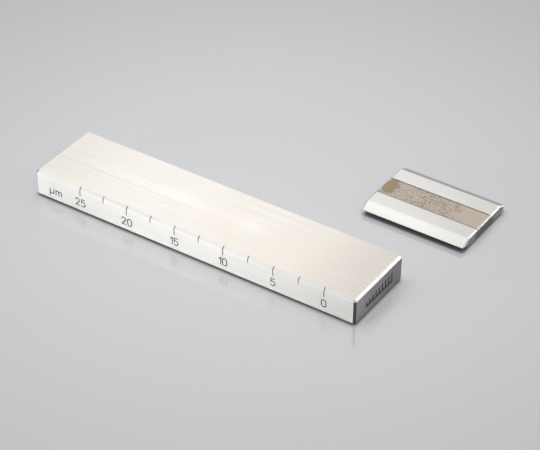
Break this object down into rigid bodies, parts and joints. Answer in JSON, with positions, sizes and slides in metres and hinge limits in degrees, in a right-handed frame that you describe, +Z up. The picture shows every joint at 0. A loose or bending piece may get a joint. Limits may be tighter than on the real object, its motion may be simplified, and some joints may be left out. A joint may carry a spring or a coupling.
{
  "type": "fineness of grind gauge",
  "caption": "Rectangular steel gauge block with a shallow tapered groove and a depth scale along one edge, with a loose double-edged flat scraper.",
  "frame": {"origin": "centre of the block's underside", "axes": "+X along the block from the deep end of the groove to its zero end, +Y from the scale side to the back, +Z up"},
  "size_m": [0.1885, 0.111, 0.0135],
  "materials": {
    "ground_steel": "hardened stainless steel, finely ground lengthwise and lapped on the measuring face",
    "blade_steel": "hardened stainless steel, satin ground flats and polished bevels, tarnished in the recess",
    "black_enamel": "black baked enamel in the engraved marks, slightly sunk and worn"
  },
  "bodies": {
    "block": {"gauge_block": "ground_steel", "major_tick_fill": "black_enamel", "minor_tick_fill": "black_enamel", "numeral_fill": "black_enamel", "unit_fill": "black_enamel", "end_mark_fill": "black_enamel"},
    "scraper": {"scraper_blade": "blade_steel"}
  },
  "joints": [
    {"name": "scraper_draw", "type": "slide", "parent": "block", "child": "scraper", "axis": [1, 0, 0], "range_m": [-0.133, 0]}
  ]
}
